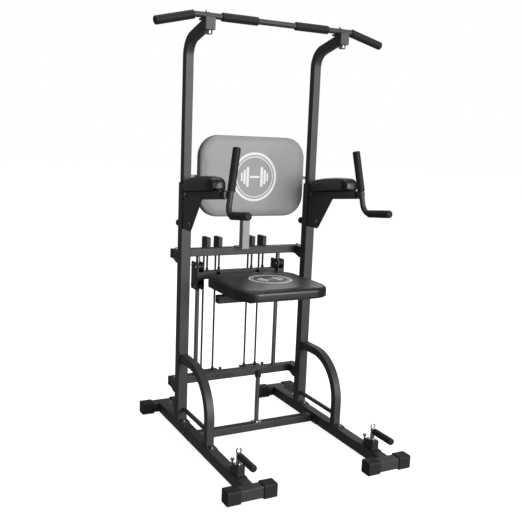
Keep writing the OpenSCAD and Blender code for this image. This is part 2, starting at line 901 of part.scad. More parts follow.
module dip_handles() {
    color(steel)
        for (side = sides) on_handle(side) {
            translate([0, 0, elbow_radius]) cylinder(d = handle_dia, h = upright_end - elbow_radius - 4, $fn = 48);
            translate([0, -elbow_radius, 0]) rotate([90, 0, 0])
                cylinder(d = handle_dia, h = forward_end - elbow_radius - 4, $fn = 48);
            translate([0, -elbow_radius, elbow_radius]) rotate([0, 90, 0])
                rotate_extrude(angle = 90, $fn = 96)
                    translate([elbow_radius, 0]) circle(d = handle_dia, $fn = 48);
        }
}

module dip_grips() {
    color(foam)
        for (side = sides) on_handle(side) {
            translate([0, 0, foam_from]) foam_cap(handle_grip, handle_dia, upright_end - foam_from);
            translate([0, -elbow_radius, 0]) rotate([90, 0, 0])
                foam_cap(handle_grip, handle_dia, forward_end - elbow_radius);
        }
}

// Back rest -------------------------------------------------------------

module backrest_pad() {
    color(pale) translate([0, rest_rear, rest_bottom + rest_height / 2])
        rotate([90, 0, 0]) slab(2 * rest_half, rest_height, rest_thick, rest_corner);
}

module backrest_post() {
    front = post_y - post_size / 2;
    back = crossbar_rear - 2;
    color(pale) {
        translate([0, post_y, post_bottom]) closed_tube(post_size, post_size, post_top - post_bottom);
        translate([0, (front + back) / 2, upper_crossbar_z + crossbar_height / 2])
            slab(post_size + 4, back - front, flange_thick, 4);
        for (z = rest_plate_zs)
            translate([0, (rest_rear + front) / 2, z])
                cube([rest_pad_plate, front - rest_rear, 50], center = true);
        translate([0, (rest_rear + front) / 2, rest_bar_z])
            difference() {
                cube([rest_clamp, front - rest_rear, rest_bar_dia + 14], center = true);
                rotate([0, 90, 0]) cylinder(d = rest_bar_dia, h = rest_clamp + 2, center = true, $fn = 48);
            }
    }
}

module backrest_bar() {
    color(pale) translate([0, rest_bar_y, rest_bar_z]) rotate([0, 90, 0])
        cylinder(d = rest_bar_dia, h = 2 * rest_bar_half, center = true, $fn = 48);
}

// Push-up handles -------------------------------------------------------

module pushup_sockets() {
    hole = push_post + 2 * sleeve_gap;
    color(rubber)
        for (side = sides)
            translate([side * rail_x, push_y, rail_top])
                difference() {
                    union() {
                        translate([0, 16, 0]) slab(frame_tube - 4, 128, flange_thick, 4);
                        slab(socket_width, socket_length, socket_top - rail_top, 6);
                    }
                    translate([0, 0, flange_thick]) cylinder(d = hole, h = socket_top, $fn = 64);
                    translate([0, lock_y - push_y, -1]) cylinder(d = lock_dia + 1, h = 10, $fn = 32);
                }
}

module pushup_handle(side) {
    eye_z = push_z + push_grip / 2 + 4;
    color(chrome) translate([side * rail_x, push_y, 0]) {
        translate([0, 0, rail_top + flange_thick + sleeve_gap])
            cylinder(d = push_post, h = push_z + 8 - rail_top - flange_thick, $fn = 64);
        translate([0, 0, socket_top + sleeve_gap]) cylinder(d = push_collar, h = 5, $fn = 64);
        translate([0, 0, eye_z]) rotate([90, 0, 0])
            rotate_extrude($fn = 64) translate([push_eye / 2, 0]) circle(d = eye_wire, $fn = 32);
        translate([0, 0, push_z]) rotate([90, 0, 0])
            cylinder(d = push_spigot, h = push_grip_from + push_grip_length - 4, $fn = 48);
    }
}

module pushup_grip(side) {
    color(foam) translate([side * rail_x, push_y - push_grip_from, push_z]) rotate([90, 0, 0])
        foam_cap(push_grip, push_spigot, push_grip_length);
}

module pushup_pin(side) {
    color(zinc) translate([side * rail_x, lock_y, rail_top + flange_thick]) {
        translate([0, 0, 0.3]) cylinder(d = 16, h = 16, $fn = 48);
        translate([0, 0, 16]) cylinder(d = 9, h = 20, $fn = 48);
        translate([0, 0, 36]) cylinder(d = 18, h = 8, $fn = 48);
    }
}

base_frame(-1);  // base_frame_left
base_frame(1);  // base_frame_right
foot_caps();
floor_crossbar();
lower_upright(-1);  // lower_upright_left
lower_upright(1);  // lower_upright_right
upright_sleeves();
upper_upright(-1);  // upper_upright_left
upper_upright(1);  // upper_upright_right
pull_up_bar();
bar_grips();
bar_clamps();
clamp_bolts();
side_brace(-1);  // side_brace_left
side_brace(1);  // side_brace_right
crossbar(upper_crossbar_z);  // upper_crossbar
crossbar(lower_crossbar_z);  // lower_crossbar
frame_bolts();
guide_rods();
stop_post();
stop_buffer();
carriage();
roller_axles();
roller(-1, true, false);  // roller_left_upper_front
roller(-1, true, true);  // roller_left_upper_rear
roller(-1, false, false);  // roller_left_lower_front
roller(-1, false, true);  // roller_left_lower_rear
roller(1, true, false);  // roller_right_upper_front
roller(1, true, true);  // roller_right_upper_rear
roller(1, false, false);  // roller_right_lower_front
roller(1, false, true);  // roller_right_lower_rear
seat_frame();
seat_pad();
cord_pulley(cord_xs[0]);  // cord_pulley_1
cord_pulley(cord_xs[1]);  // cord_pulley_2
cord_pulley(cord_xs[2]);  // cord_pulley_3
cord_pulley(cord_xs[3]);  // cord_pulley_4
pulley_housings();
cord_front_runs();
cord_back_runs();
cord_anchors();
dip_arm(-1);  // dip_arm_left
dip_arm(1);  // dip_arm_right
arm_pad(-1);  // arm_pad_left
arm_pad(1);  // arm_pad_right
dip_handles();
dip_grips();
height_pin(-1);  // height_pin_left
height_pin(1);  // height_pin_right
backrest_pad();
backrest_post();
backrest_bar();
pushup_sockets();
pushup_handle(-1);  // pushup_handle_left
pushup_handle(1);  // pushup_handle_right
pushup_grip(-1);  // pushup_grip_left
pushup_grip(1);  // pushup_grip_right
pushup_pin(-1);  // pushup_pin_left
pushup_pin(1);  // pushup_pin_right
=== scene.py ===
import json
import logging
import math
from collections.abc import Callable, Iterator
from dataclasses import dataclass
from enum import Enum

import bpy
from mathutils import Matrix, Vector
from mathutils.bvhtree import BVHTree


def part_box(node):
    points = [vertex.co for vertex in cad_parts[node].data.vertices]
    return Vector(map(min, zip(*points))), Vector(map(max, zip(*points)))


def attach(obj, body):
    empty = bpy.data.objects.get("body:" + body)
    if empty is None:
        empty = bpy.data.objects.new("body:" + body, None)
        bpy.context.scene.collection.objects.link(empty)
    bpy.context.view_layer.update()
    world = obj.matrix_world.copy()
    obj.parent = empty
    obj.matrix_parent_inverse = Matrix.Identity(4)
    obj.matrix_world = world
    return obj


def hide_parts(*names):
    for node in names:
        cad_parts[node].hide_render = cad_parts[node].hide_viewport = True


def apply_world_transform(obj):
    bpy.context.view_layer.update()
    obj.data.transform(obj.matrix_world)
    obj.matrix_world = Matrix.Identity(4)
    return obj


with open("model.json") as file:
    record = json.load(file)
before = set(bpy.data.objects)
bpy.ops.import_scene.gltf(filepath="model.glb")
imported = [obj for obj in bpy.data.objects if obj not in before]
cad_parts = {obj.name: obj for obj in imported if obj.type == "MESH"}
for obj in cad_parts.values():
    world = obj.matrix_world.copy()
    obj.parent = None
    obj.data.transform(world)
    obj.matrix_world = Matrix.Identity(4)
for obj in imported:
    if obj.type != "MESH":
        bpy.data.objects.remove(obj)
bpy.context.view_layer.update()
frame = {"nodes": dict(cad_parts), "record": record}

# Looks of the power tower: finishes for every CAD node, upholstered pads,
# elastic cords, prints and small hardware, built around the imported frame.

log = logging.getLogger("power_tower")
Vec3 = tuple[float, float, float]
MM = 0.001
# How far the dip arms and their pads rise towards the front.
ARM_SLOPE = math.radians(5.5)


# Finishes ---------------------------------------------------------------


def linear(code: str, alpha: float = 1.0) -> tuple[float, float, float, float]:
    """Turns an sRGB hex colour into Blender's linear colour.

    Args:
        code: six hex digits.
        alpha: opacity to carry along.

    Returns:
        Red, green, blue and alpha.
    """
    parts = [int(code[i:i + 2], 16) / 255 for i in (0, 2, 4)]
    toned = [c / 12.92 if c <= 0.04045 else ((c + 0.055) / 1.055) ** 2.4 for c in parts]
    return (*toned, alpha)


def add_node(tree: bpy.types.NodeTree, kind: str, values: dict | None = None,
             links: dict | None = None, **settings: object) -> bpy.types.Node:
    """Adds one node with its settings, input values and links.

    Args:
        tree: node tree to add to.
        kind: Blender's name for the node type.
        values: default values by input name or index.
        links: output sockets by input name or index.
        **settings: properties of the node itself.

    Returns:
        The new node.
    """
    node = tree.nodes.new(kind)
    for key, value in settings.items():
        setattr(node, key, value)
    for key, value in (values or {}).items():
        node.inputs[key].default_value = value
    for key, socket in (links or {}).items():
        tree.links.new(socket, node.inputs[key])
    return node


class Surface(Enum):
    """How a surface was made, which decides its relief."""

    POWDER = "powder coated"
    MOULDED = "moulded"
    FOAM = "closed-cell foam"
    GRAINED = "grained vinyl"
    BRAIDED = "braided cord"
    POLISHED = "ground and polished"
    PRINTED = "screen printed"


# Every finish is a little uneven: the scale of its clouds in turns per metre, and
# the parts of the noise where the main colour ends and the shade begins.
CLOUD_SCALE = 14.0
CLOUD_ENDS = (0.35, 0.68)
# How steeply the two sets of strands in a braid cross the cord.
BRAID_TURN = math.radians(40)
# Grinding marks run round an upright rod, so their pattern is drawn out sideways.
GRIND_STRETCH = (0.15, 0.15, 1.0)


@dataclass(frozen=True)
class Finish:
    """One real finish.

    Attributes:
        name: what the finish is, in plain words.
        colour: main sRGB colour.
        shade: sRGB colour of its cloudy variation.
        surface: how it was made.
        roughness: middle of its roughness.
        spread: how far the roughness varies either way.
        grain_mm: size of the relief's pattern.
        depth_mm: height of the relief.
        metallic: 1 for bare metal.
        sheen: soft edge light of fabric or foam.
        coat: strength of a clear coat.
        ior: index of refraction; metals keep the default.
    """

    name: str
    colour: str
    shade: str
    surface: Surface
    roughness: float
    spread: float
    grain_mm: float
    depth_mm: float
    metallic: float = 0.0
    sheen: float = 0.0
    coat: float = 0.0
    ior: float = 1.5

    def material(self) -> bpy.types.Material:
        """Returns this finish's material, made the first time it is asked for."""
        return bpy.data.materials.get(self.name) or self._make()

    def _make(self) -> bpy.types.Material:
        """Builds and returns the node material."""
        mat = bpy.data.materials.new(self.name)
        mat.use_nodes = True
        tree = mat.node_tree
        tree.nodes.clear()
        coords = add_node(tree, "ShaderNodeTexCoord").outputs["Object"]
        cloud = add_node(tree, "ShaderNodeTexNoise", {"Scale": CLOUD_SCALE, "Detail": 3.0},
                         {"Vector": coords}).outputs["Fac"]
        ramp = add_node(tree, "ShaderNodeValToRGB", links={"Fac": cloud})
        for stop, position, colour in zip(ramp.color_ramp.elements, CLOUD_ENDS, (self.colour, self.shade)):
            stop.position = position
            stop.color = linear(colour)
        height = self._relief(tree, coords)
        rough = add_node(tree, "ShaderNodeMapRange",
                         {"To Min": self.roughness - self.spread, "To Max": self.roughness + self.spread},
                         {"Value": height})
        bump = add_node(tree, "ShaderNodeBump", {"Strength": 1.0, "Distance": self.depth_mm * MM},
                        {"Height": height})
        values = {"Metallic": self.metallic, "Sheen Weight": self.sheen, "Coat Weight": self.coat}
        if not self.metallic:
            values["IOR"] = self.ior
        shader = add_node(tree, "ShaderNodeBsdfPrincipled", values,
                          {"Base Color": ramp.outputs["Color"], "Roughness": rough.outputs["Result"],
                           "Normal": bump.outputs["Normal"]})
        add_node(tree, "ShaderNodeOutputMaterial", links={"Surface": shader.outputs["BSDF"]})
        return mat

    def _relief(self, tree: bpy.types.NodeTree, coords: bpy.types.NodeSocket) -> bpy.types.NodeSocket:
        """Adds the height pattern that suits the surface.

        Args:
            tree: the material's node tree.
            coords: object coordinates, in metres.

        Returns:
            A socket that runs from 0 to 1.
        """
        scale = 1000.0 / self.grain_mm
        if self.surface is Surface.GRAINED:
            cells = add_node(tree, "ShaderNodeTexVoronoi", {"Scale": scale}, {"Vector": coords},
                             feature="SMOOTH_F1")
            return add_node(tree, "ShaderNodeMath", {1: 0.9}, {0: cells.outputs["Distance"]},
                            operation="POWER", use_clamp=True).outputs[0]
        if self.surface is Surface.FOAM:
            cells = add_node(tree, "ShaderNodeTexVoronoi", {"Scale": scale}, {"Vector": coords})
            grain = add_node(tree, "ShaderNodeTexNoise", {"Scale": scale * 0.6, "Detail": 2.0},
                             {"Vector": coords})
            return add_node(tree, "ShaderNodeMath",
                            links={0: cells.outputs["Distance"], 1: grain.outputs["Fac"]},
                            operation="MULTIPLY", use_clamp=True).outputs[0]
        if self.surface is Surface.BRAIDED:
            # A wave texture turns 3.2 times in each unit of its scale, so a sixth of
            # the scale sets the strands a little under twice the grain's size apart.
            strands = [
                add_node(tree, "ShaderNodeTexWave", {"Scale": scale / 6, "Distortion": 0.0},
                         {"Vector": add_node(tree, "ShaderNodeMapping", {"Rotation": (0.0, turn, turn)},
                                             {"Vector": coords}).outputs["Vector"]},
                         bands_direction="Z").outputs["Fac"]
                for turn in (BRAID_TURN, -BRAID_TURN)
            ]
            return add_node(tree, "ShaderNodeMath", links={0: strands[0], 1: strands[1]},
                            operation="MAXIMUM").outputs[0]
        if self.surface is Surface.POLISHED:
            lines = add_node(tree, "ShaderNodeMapping", {"Scale": GRIND_STRETCH}, {"Vector": coords})
            return add_node(tree, "ShaderNodeTexNoise", {"Scale": scale, "Detail": 2.0},
                            {"Vector": lines.outputs["Vector"]}).outputs["Fac"]
        detail = 4.0 if self.surface is Surface.MOULDED else 2.0
        return add_node(tree, "ShaderNodeTexNoise", {"Scale": scale, "Detail": detail},
                        {"Vector": coords}).outputs["Fac"]


# Satin powder coat over tube: charcoal, with the soft orange peel of baked powder,
# drawn coarser than the real 1 mm so that it shows.
POWDER_COAT = Finish("satin powder coated steel", "37383a", "3c3d3f", Surface.POWDER, 0.5, 0.04, 5.0, 0.02)
# Compression-moulded rubber: nearly black, with a fine matt skin.
RUBBER = Finish("moulded rubber", "131314", "171718", Surface.MOULDED, 0.62, 0.06, 3.0, 0.08, ior=1.52)
# Skinned NBR foam: black, very matt, with a faint edge light from its fine pores.
FOAM = Finish("nbr foam grip", "0f0f10", "151516", Surface.FOAM, 0.7, 0.08, 2.4, 0.16, sheen=0.12, ior=1.45)
# Calendered PVC on foam: black, soft gloss, small rounded grain, drawn coarser than the real 1 mm.
BLACK_VINYL = Finish("black upholstery vinyl", "131314", "181819", Surface.GRAINED, 0.38, 0.05, 2.2, 0.05,
                     coat=0.05, ior=1.53)
# The same vinyl in light grey.
GREY_VINYL = Finish("light grey upholstery vinyl", "959595", "9b9b9b", Surface.GRAINED, 0.5, 0.05, 2.2, 0.05,
                    ior=1.53)
# Light grey sprayed enamel on tube.
GREY_ENAMEL = Finish("light grey enamelled steel", "a2a3a4", "a8a9aa", Surface.POWDER, 0.45, 0.04, 5.0, 0.04)
# Hard chrome, ground round the rod and polished: faint rings in the gloss.
CHROME = Finish("hard chromed steel", "b0b2b5", "b6b8bb", Surface.POLISHED, 0.2, 0.02, 2.0, 0.002,
                metallic=1.0)
# Zinc plate on bolts and pins: grey, blurred reflections.
ZINC = Finish("zinc plated steel", "9b9da0", "a6a8ab", Surface.MOULDED, 0.34, 0.08, 3.0, 0.02, metallic=1.0)
# Glass-filled nylon: black with a fine spark-eroded texture.
NYLON = Finish("moulded nylon", "1c1c1d", "212122", Surface.MOULDED, 0.5, 0.07, 2.0, 0.06, ior=1.53)
# Polyester braid over rubber strands; its 3 mm plait is drawn almost twice as coarse so that it shows.
BRAID = Finish("braided elastic cord", "131314", "1d1d1e", Surface.BRAIDED, 0.7, 0.08, 3.0, 0.35, sheen=0.3)
# Flexible white ink screened on vinyl.
INK = Finish("white screen ink", "f1f1f0", "e8e8e7", Surface.PRINTED, 0.45, 0.04, 4.0, 0.03, ior=1.49)


class Slot(Enum):
    """The record's material slots and the finish each one shows."""

    frame_steel = POWDER_COAT
    black_rubber = RUBBER
    grip_foam = FOAM
    black_vinyl = BLACK_VINYL
    grey_vinyl = GREY_VINYL
    grey_steel = GREY_ENAMEL
    polished_rod = CHROME
    zinc_bolts = ZINC
    black_nylon = NYLON
    elastic_cord = BRAID


# Modelling helpers -------------------------------------------------------


def deselect() -> None:
    """Leaves nothing selected, so that an operator acts only on new work."""
    bpy.ops.object.select_all(action="DESELECT")


def make_active(*objects: bpy.types.Object) -> None:
    """Selects some objects alone and makes the first of them the active one.

    Args:
        *objects: the objects.
    """
    deselect()
    for obj in objects:
        obj.select_set(True)
    bpy.context.view_layer.objects.active = objects[0]


def apply_modifier(obj: bpy.types.Object, kind: str, **settings: object) -> None:
    """Adds a modifier and applies it at once.

    Args:
        obj: object to change.
        kind: Blender's name for the modifier type.
        **settings: properties of the modifier.
    """
    make_active(obj)
    modifier = obj.modifiers.new(kind.lower(), kind)
    for key, value in settings.items():
        setattr(modifier, key, value)
    bpy.ops.object.modifier_apply(modifier=modifier.name)


def bake_transform(obj: bpy.types.Object) -> None:
    """Moves an object's transform into its mesh.

    Args:
        obj: object to leave at the origin, unturned and unscaled.
    """
    make_active(obj)
    bpy.ops.object.transform_apply(location=True, rotation=True, scale=True)


def join(objects: list[bpy.types.Object]) -> bpy.types.Object:
    """Joins several objects into one.

    Args:
        objects: the objects, two or more.

    Returns:
        The first of them, which holds them all.
    """
    make_active(*objects)
    bpy.ops.object.join()
    return bpy.context.object


def select_parts(obj: bpy.types.Object, kind: str,
                 wanted: Callable[[bpy.types.MeshEdge | bpy.types.MeshPolygon], bool]) -> None:
    """Opens an object in edit mode with some of its edges or faces selected.

    Args:
        obj: the active object, in object mode.
        kind: EDGE or FACE.
        wanted: tells whether an edge or face is to be selected.
    """
    bpy.ops.object.mode_set(mode="EDIT")
    bpy.ops.mesh.select_mode(type=kind)
    bpy.ops.mesh.select_all(action="DESELECT")
    bpy.ops.object.mode_set(mode="OBJECT")
    for part in obj.data.edges if kind == "EDGE" else obj.data.polygons:
        part.select = wanted(part)
    bpy.ops.object.mode_set(mode="EDIT")


def finish_piece(obj: bpy.types.Object, name: str, finish: Finish, body: str) -> None:
    """Names a piece, dresses it and makes it ride on its body, if it has one.

    Args:
        obj: the finished piece.
        name: the piece's name.
        finish: its finish.
        body: the body that carries it, or nothing if the piece is blended between two.
    """
    obj.name = name
    obj.data.name = name
    obj.data.materials.clear()
    obj.data.materials.append(finish.material())
    if body:
        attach(obj, body)
    log.info("%s is made", name)


def block(size: Vec3, at: Vec3) -> bpy.types.Object:
    """Makes a plain box to shape further.

    Args:
        size: its three sides.
        at: its centre.

    Returns:
        The box.
    """
    deselect()
    bpy.ops.mesh.primitive_cube_add(size=1.0, location=at, scale=size)
    obj = bpy.context.object
    bake_transform(obj)
    bpy.ops.object.shade_smooth_by_angle(angle=math.radians(40))
    return obj


def ring_of_points(points: list[Vector], radius: float) -> bpy.types.Object:
    """Makes a thin closed tube through a ring of points.

    Args:
        points: the points, in order.
        radius: radius of the tube.

    Returns:
        The tube.
    """
    deselect()
    bpy.ops.mesh.primitive_circle_add(vertices=len(points), radius=1.0)
    obj = bpy.context.object
    for vertex, point in zip(obj.data.vertices, points):
        vertex.co = point
    bpy.ops.object.convert(target="CURVE")
    obj = bpy.context.object
    obj.data.bevel_depth = radius
    obj.data.bevel_resolution = 2
    bpy.ops.object.convert(target="MESH")
    bpy.ops.object.shade_smooth()
    return bpy.context.object


# Sub-assemblies ----------------------------------------------------------


@dataclass
class Studio:
    """Camera, lights and floor.

    Attributes:
        eye: place of the camera.
        yaw: how far the camera is turned to the right of +Y, in degrees.
        pitch: how far it looks down, in degrees.
        roll: how far it leans, in degrees.
        lens: focal length on a 36 mm sensor.
        shift: how far the lens is shifted, in sensor widths.
        aim: point that the soft boxes face.
        fill_light: strength of the surround as a light.
        floor_glow: how much the floor shines by itself, which keeps it near white.
        floor_side: side of the floor, far past the edge of every view.
    """

    eye: Vec3 = (-1.6123, -2.9644, 1.4455)
    yaw: float = 28.174
    pitch: float = 9.671
    roll: float = 2.377
    lens: float = 50.45
    shift: tuple[float, float] = (-0.01209, 0.00115)
    aim: Vec3 = (0.0, 0.1, 0.9)
    fill_light: float = 0.17
    floor_glow: float = 0.86
    floor_side: float = 60.0

    def build(self) -> None:
        """Makes the camera, the lights and the floor."""
        self._camera()
        self._lights()
        self._floor()
        bpy.context.scene.view_settings.view_transform = "Standard"

    def _camera(self) -> None:
        """Places the camera."""
        yaw, pitch, roll = (math.radians(a) for a in (self.yaw, self.pitch, self.roll))
        ahead = Vector((math.sin(yaw) * math.cos(pitch), math.cos(yaw) * math.cos(pitch), -math.sin(pitch)))
        right = Vector((math.cos(yaw), -math.sin(yaw), 0.0))
        up = right.cross(ahead)
        leaned_right = right * math.cos(roll) + up * math.sin(roll)
        leaned_up = up * math.cos(roll) - right * math.sin(roll)
        data = bpy.data.cameras.new("camera")
        data.lens, data.sensor_width = self.lens, 36.0
        data.shift_x, data.shift_y = self.shift
        camera = bpy.data.objects.new("camera", data)
        turn = Matrix((leaned_right, leaned_up, -ahead)).transposed().to_4x4()
        camera.matrix_world = Matrix.Translation(self.eye) @ turn
        bpy.context.scene.collection.objects.link(camera)
        bpy.context.scene.camera = camera

    def _lights(self) -> None:
        """Places three soft boxes and a pale surround, which is dimmer as a light than to the eye."""
        # Each soft box: its name, its place, its side in metres and its power in watts.
        boxes = (("key", (2.6, -8.2, 2.6), 4.0, 700.0), ("top", (0.4, 0.2, 4.6), 2.6, 50.0),
                 ("back", (2.4, 3.2, 2.6), 1.8, 16.0))
        aim = Vector(self.aim)
        for name, place, size, power in boxes:
            data = bpy.data.lights.new(name, "AREA")
            data.size, data.energy = size, power
            lamp = bpy.data.objects.new(name, data)
            lamp.location = place
            lamp.rotation_euler = (aim - Vector(place)).to_track_quat("-Z", "Y").to_euler()
            bpy.context.scene.collection.objects.link(lamp)
        world = bpy.data.worlds.new("surround")
        world.use_nodes = True
        tree = world.node_tree
        tree.nodes.clear()
        seen = add_node(tree, "ShaderNodeLightPath").outputs["Is Camera Ray"]
        glow = add_node(tree, "ShaderNodeMapRange", {"To Min": self.fill_light, "To Max": 1.0},
                        {"Value": seen})
        sky = add_node(tree, "ShaderNodeBackground", {"Color": (1.0, 1.0, 1.0, 1.0)},
                       {"Strength": glow.outputs["Result"]})
        add_node(tree, "ShaderNodeOutputWorld", links={"Surface": sky.outputs["Background"]})
        bpy.context.scene.world = world

    def _floor(self) -> None:
        """Lays a plain pale floor."""
        deselect()
        bpy.ops.mesh.primitive_plane_add(size=self.floor_side)
        floor = bpy.context.object
        floor.name = "floor"
        mat = bpy.data.materials.new("pale floor")
        mat.use_nodes = True
        shader = mat.node_tree.nodes["Principled BSDF"]
        shader.inputs["Base Color"].default_value = linear("ececec")
        shader.inputs["Roughness"].default_value = 0.9
        shader.inputs["Specular IOR Level"].default_value = 0.0
        shader.inputs["Emission Color"].default_value = (1.0, 1.0, 1.0, 1.0)
        shader.inputs["Emission Strength"].default_value = self.floor_glow
        floor.data.materials.append(mat)
        floor.visible_diffuse = False
        floor.visible_glossy = False


class SteelWork:
    """Dresses the CAD nodes that keep their own shape."""

    def build(self) -> None:
        """Gives every CAD node the finish of its slot."""
        for part in frame["record"]["subparts"]:
            node = frame["nodes"][part["node"]]
            finish = Slot[part["material_slot"]].value
            node.data.materials.clear()
            node.data.materials.append(finish.material())
            log.info("%s is %s", part["node"], finish.name)


@dataclass
class Cushion:
    """An upholstered pad: foam on a board, covered in vinyl and crowned on top.

    Attributes:
        node: the CAD pad that it stands for.
        body: the body that carries it.
        size: width, depth and height, along the pad's own axes.
        turn: rotation from the pad's own axes to the frame, about X.
        corner: radius of the outline's corners.
        edge: radius of the rim.
        puff: how far the cover may swell.
        crown: how much higher the middle stands than the rim.
        seams: heights of the sewn seams on the side band, from the board.
        finish: its cover.
        slot: the record's slot; not used.
        fill: how tight it is stuffed; not used.
        cover: the finished pad, once it is built.
        grid: side of the even mesh's cells.
        pressure: how hard the foam pushes the cover out.
        frames: length of the simulation.
        board: how much of the pad's foot is held by the board.
        evening: how often the swelling is evened out between neighbours.
        corner_points: number of points in each corner of the outline.
        seam_points: number of points in each corner of a seam.
        welt: radius of a sewn seam.
        reach: how far outside the pad the search for its side starts.
    """

    node: str
    body: str
    size: Vec3
    turn: float
    corner: float
    edge: float
    puff: float
    crown: float
    seams: tuple[float, ...]
    finish: Finish
    slot: Slot
    fill: float = 0.9
    cover: bpy.types.Object | None = None
    grid: float = 0.005
    pressure: float = 4.0
    frames: int = 20
    board: float = 0.002
    evening: int = 12
    corner_points: int = 13
    seam_points: int = 24
    welt: float = 0.0013
    reach: float = 0.5

    def place(self) -> Matrix:
        """Returns the matrix from the pad's own axes to the frame."""
        low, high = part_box(self.node)
        middle = (Vector(low) + Vector(high)) / 2
        return Matrix.Translation(middle) @ Matrix.Rotation(self.turn, 4, "X")

    def build(self) -> bpy.types.Object:
        """Makes the pad and its seams and returns the pad."""
        pad = self._blank()
        self._inflate(pad)
        apply_modifier(pad, "SMOOTH", factor=0.5, iterations=2)
        apply_modifier(pad, "SUBSURF", levels=1, render_levels=1)
        self._raise_crown(pad)
        self._fit(pad)
        self._seams(pad)
        pad.data.transform(self.place())
        pad.data.update()
        make_active(pad)
        bpy.ops.object.shade_smooth()
        finish_piece(pad, self.node + "_cover", self.finish, self.body)
        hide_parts(self.node)
        self.cover = pad
        return pad

    def _blank(self) -> bpy.types.Object:
        """Returns the pad before it swells, as an even mesh at the origin.

        The outline is extruded from the board to the rim, and insets turn the rim's corner.
        """
        width, depth, height = self.size
        corner = self.corner - self.puff
        straight_x, straight_y = width / 2 - self.corner, depth / 2 - self.corner
        low, high = -height / 2, height / 2 - self.puff - self.crown
        outline = list(self._outline(self.corner_points))
        deselect()
        bpy.ops.mesh.primitive_circle_add(vertices=len(outline), radius=1.0, fill_type="NGON")
        pad = bpy.context.object
        for vertex, (sx, sy, dx, dy) in zip(pad.data.vertices, outline):
            vertex.co = (sx * straight_x + corner * dx, sy * straight_y + corner * dy, low)
        bpy.ops.object.mode_set(mode="EDIT")
        bpy.ops.mesh.select_all(action="SELECT")
        bpy.ops.mesh.extrude_region_move(TRANSFORM_OT_translate={"value": (0.0, 0.0, high - low - self.edge)})
        turns = [math.radians(15) * k for k in range(7)]  # a quarter turn in six steps
        for start, end in zip(turns, turns[1:]):
            bpy.ops.mesh.inset(thickness=self.edge * (math.cos(start) - math.cos(end)),
                               depth=self.edge * (math.sin(end) - math.sin(start)))
        bpy.ops.mesh.select_all(action="SELECT")
        bpy.ops.mesh.normals_make_consistent(inside=False)
        bpy.ops.object.mode_set(mode="OBJECT")
        apply_modifier(pad, "REMESH", mode="VOXEL", voxel_size=self.grid, use_smooth_shade=True)
        apply_modifier(pad, "SMOOTH", factor=0.5, iterations=4)
        return pad

    def _outline(self, steps: int) -> Iterator[tuple[int, int, float, float]]:
        """Walks round the four corners of the outline.

        Args:
            steps: number of points in each corner.

        Yields:
            The corner's sides, as signs of X and Y, and the direction out of the corner.
        """
        for quarter, (sx, sy) in enumerate(((1, 1), (-1, 1), (-1, -1), (1, -1))):
            for k in range(steps):
                angle = math.radians(90) * (quarter + k / (steps - 1))
                yield sx, sy, math.cos(angle), math.sin(angle)

    def _inflate(self, pad: bpy.types.Object) -> None:
        """Swells the cover with a cloth simulation, the board side held flat.

        Only the outward part of the swelling is kept, evened out between
        neighbouring points, so that the cover stays taut and smooth.

        Args:
            pad: the pad's even mesh, changed in place.
        """
        rest = [v.co.copy() for v in pad.data.vertices]
        outward = [v.normal.copy() for v in pad.data.vertices]
        floor_z = min(v.z for v in rest)
        held = pad.vertex_groups.new(name="board")
        held.add([i for i, v in enumerate(rest) if v.z < floor_z + self.board], 1.0, "REPLACE")
        make_active(pad)
        cloth = pad.modifiers.new("cloth", "CLOTH")
        cloth.settings.use_pressure = True
        cloth.settings.uniform_pressure_force = self.pressure
        cloth.settings.vertex_group_mass = "board"
        cloth.settings.effector_weights.gravity = 0.0
        scene = bpy.context.scene
        for step in range(1, self.frames + 1):
            scene.frame_set(step)
        bpy.ops.object.modifier_apply(modifier=cloth.name)
        scene.frame_set(1)
        swell = [max(0.0, min(self.puff, (vertex.co - start).dot(normal)))
                 for vertex, start, normal in zip(pad.data.vertices, rest, outward)]
        swell = self._even_out(pad, swell)
        for vertex, start, normal, height in zip(pad.data.vertices, rest, outward, swell):
            vertex.co = start + normal * height

    def _even_out(self, pad: bpy.types.Object, swell: list[float]) -> list[float]:
        """Evens out the swelling between neighbouring points.

        Args:
            pad: the pad's mesh.
            swell: how far each point swells.

        Returns:
            The evened swelling, point by point.
        """
        edges = [tuple(edge.vertices) for edge in pad.data.edges]
        shares = [0] * len(swell)
        for a, b in edges:
            shares[a] += 1
            shares[b] += 1
        for _ in range(self.evening):
            around = [0.0] * len(swell)
            for a, b in edges:
                around[a] += swell[b]
                around[b] += swell[a]
            swell = [(own + total / count) / 2 for own, total, count in zip(swell, around, shares)]
        return swell

    def _raise_crown(self, pad: bpy.types.Object) -> None:
        """Lifts the middle of the top into a soft crown.

        Args:
            pad: the pad's mesh, changed in place.
        """
        half_w, half_d, height = self.size[0] / 2, self.size[1] / 2, self.size[2]
        for vertex in pad.data.vertices:
            u, v = min(1.0, abs(vertex.co.x) / half_w), min(1.0, abs(vertex.co.y) / half_d)
            share = max(0.0, min(1.0, (vertex.co.z + height / 2) / height))
            vertex.co.z += self.crown * (1 - u ** 3) * (1 - v ** 3) * share
        pad.data.update()

    def _fit(self, pad: bpy.types.Object) -> None:
        """Draws the cover to the pad's exact size.

        Args:
            pad: the pad's mesh, changed in place.
        """
        low, high = ([pick(v.co[axis] for v in pad.data.vertices) for axis in range(3)]
                     for pick in (min, max))
        for vertex in pad.data.vertices:
            vertex.co = [((vertex.co[axis] - low[axis]) / (high[axis] - low[axis]) - 0.5) * self.size[axis]
                         for axis in range(3)]
        pad.data.update()

